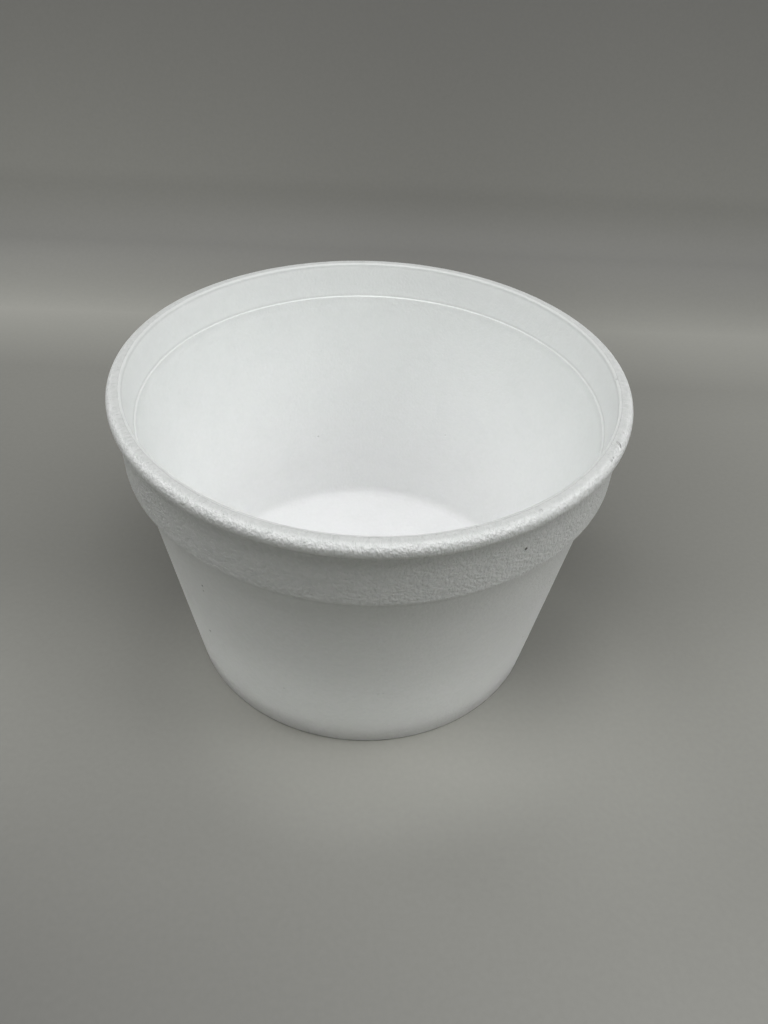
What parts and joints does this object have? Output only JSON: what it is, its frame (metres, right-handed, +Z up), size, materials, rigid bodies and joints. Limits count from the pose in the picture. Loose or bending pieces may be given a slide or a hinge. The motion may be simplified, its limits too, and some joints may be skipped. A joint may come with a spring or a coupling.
{
  "type": "foam food container",
  "caption": "Round one-piece foam food container with a tapered wall, an upright lid skirt, a rolled lip and a step inside the mouth.",
  "frame": {"origin": "centre of the foot ring, on the surface it stands on", "axes": "+Z is up, along the axis of the container; X and Y lie in the surface it stands on"},
  "size_m": [0.117, 0.117, 0.0771],
  "materials": {
    "foam": "matt white fused-bead foam"
  },
  "bodies": {
    "root": {"food_container": "foam"}
  },
  "joints": []
}
